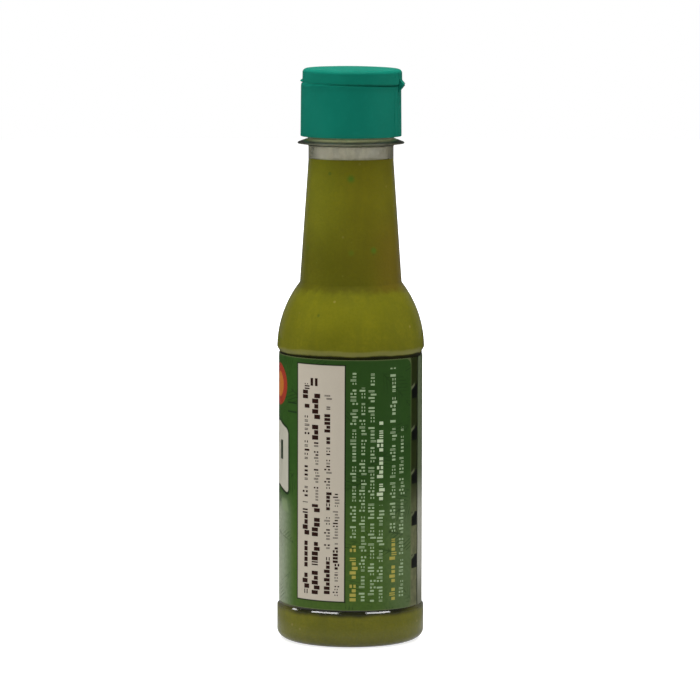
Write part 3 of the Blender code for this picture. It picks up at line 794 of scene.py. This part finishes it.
turns = [float(step) * 2.0 for step in range(-90, 91)]
for step in (17.4, 17.55, 20.4, 20.55, 22.1, 22.3, 22.5, 22.7, 22.9, 30.9, 31.1, 31.3, 31.5,
             31.7, 6.0, 6.2, 6.4, 6.6, 6.8):
    turns += [step, -step]
turns += [180.0 - step for step in range(1, 50)] + [step - 180.0 for step in range(1, 50)]
turns = sorted(set(turns))

closure = bmesh.new()
dots = [closure.verts.new((radius * MM, 0.0, level * MM)) for radius, level in skirt]
lines = [closure.edges.new(pair) for pair in zip(dots, dots[1:])]
bmesh.ops.rotate(closure, verts=dots, cent=(0.0, 0.0, 0.0),
                 matrix=Matrix.Rotation(math.radians(turns[0]), 3, "Z"))
last = dots + lines
for here, there in zip(turns, turns[1:]):
    spun = bmesh.ops.spin(closure, geom=last, cent=(0.0, 0.0, 0.0), axis=(0.0, 0.0, 1.0),
                          angle=math.radians(there - here), steps=1, use_merge=False,
                          use_duplicate=False)
    last = spun["geom_last"]
bmesh.ops.remove_doubles(closure, verts=closure.verts, dist=0.0000005)


def cap_radius(angle, radius, level):
    """The radius of the cap's outside with its hinge, slots, ribs and thumb lip."""
    if radius < CAP_BORE_RADIUS + 0.5:
        return radius
    spread = abs(angle)
    if spread <= HINGE_SPREAD + 0.01 and abs(level - HINGE_LEVEL) < HINGE_HALF + 0.01:
        share = 1.0 - abs(level - HINGE_LEVEL) / HINGE_HALF
        reach = CAP_TOP_RADIUS + (HINGE_REACH - CAP_TOP_RADIUS) * min(1.0, share * 1.1)
        return reach
    if (HINGE_SPREAD + 0.1 < spread < SLOT_SPREAD and abs(level - HINGE_LEVEL) < 1.9):
        return CAP_TOP_RADIUS - SLOT_DEPTH
    lip_angle = 180.0 - spread
    if 160.7 < level < 161.35:
        filled = min(1.0, max(0.0, (68.0 - lip_angle) / 28.0)) * 0.85
        return radius + (14.4 - radius) * filled
    if lip_angle < 12.0 and abs(level - LIP_LEVEL) < LIP_HALF + 0.01:
        share = 1.0 - abs(level - LIP_LEVEL) / LIP_HALF
        centre = LIP_REACH - LIP_ARC_RADIUS
        turn = math.radians(lip_angle)
        edge = centre * math.cos(turn) + math.sqrt(
            LIP_ARC_RADIUS ** 2 - (centre * math.sin(turn)) ** 2)
        return max(radius, edge - 0.6 * (1.0 - min(1.0, share * 1.3)))
    groove = 0.0
    for line, depth in ((6.4, 0.10), (22.5, 0.14), (31.3, 0.14)):
        if spread > 5.0 and (level < 159.1 or level > 163.0) and 147.0 < level < 165.0:
            groove = max(groove, depth * max(0.0, 1.0 - abs(spread - line) / 0.38))
    return radius - groove


for spot in closure.verts:
    radius = math.hypot(spot.co.x, spot.co.y) / MM
    if radius > 0.001:
        level = spot.co.z / MM
        angle = math.degrees(math.atan2(spot.co.y, spot.co.x))
        change = cap_radius(angle, radius, level) / radius
        spot.co.x *= change
        spot.co.y *= change
        if radius > CAP_BORE_RADIUS and abs(angle) > 20.6:
            near = max(0.0, min(1.0, (level - 159.4) / 1.2, (162.0 - level) / 0.6))
            fade = min(1.0, (abs(angle) - 20.6) / 15.0)
            spot.co.z -= near * fade * (0.017 * spot.co.x + 0.021 * spot.co.y)
        if level > SEAM_TOP - 0.01:
            spot.co.x += LID_SHIFT * MM
            tilt = min(1.0, max(0.0, (level - 162.8) / 1.4))
            spot.co.z += tilt * (0.10 * MM + 0.014 * spot.co.y - 0.008 * spot.co.x)
bmesh.ops.recalc_face_normals(closure, faces=closure.faces)

satin, tree, surface = blank_material("teal_cap")
wander = ramp(tree, place_noise(tree, 90.0, 3.0, (1.0, 1.0, 0.4)), 0.3, 0.7)
grit = place_noise(tree, 2600.0, 2.0)
teal = blend_colours(tree, wander, (0.0030, 0.196, 0.134), (0.0050, 0.222, 0.152))
teal = blend_colours(tree, ramp(tree, place_noise(tree, 700.0, 4.0), 0.55, 0.80, 0.0, 0.35), teal,
                     (0.012, 0.255, 0.180))
# Painted shade: the top of the skirt is a little darker, just under the lid
height = add_node(tree, "SeparateXYZ", Vector=add_node(tree, "TexCoord").outputs["Object"])
height = height.outputs[2]
painted_lid_shade = calc(tree, "MULTIPLY", ramp(tree, height, 0.1585, 0.1603, 0.0, 0.20),
                 ramp(tree, height, 0.1612, 0.1609))
teal = blend_colours(tree, painted_lid_shade, teal, (0.0020, 0.100, 0.070))
moulding = add_node(tree, "BsdfPrincipled", Base_Color=teal, IOR=1.49)
moulding.inputs["Specular IOR Level"].default_value = 0.10
feed(tree, moulding.inputs["Roughness"], ramp(tree, grit, 0.3, 0.7, 0.46, 0.58))
feed(tree, moulding.inputs["Normal"], bump(tree, grit, 0.00002, 0.5))
feed(tree, surface, moulding.outputs[0])
finished("flip_top_cap", closure, satin, "cap", 28.0)
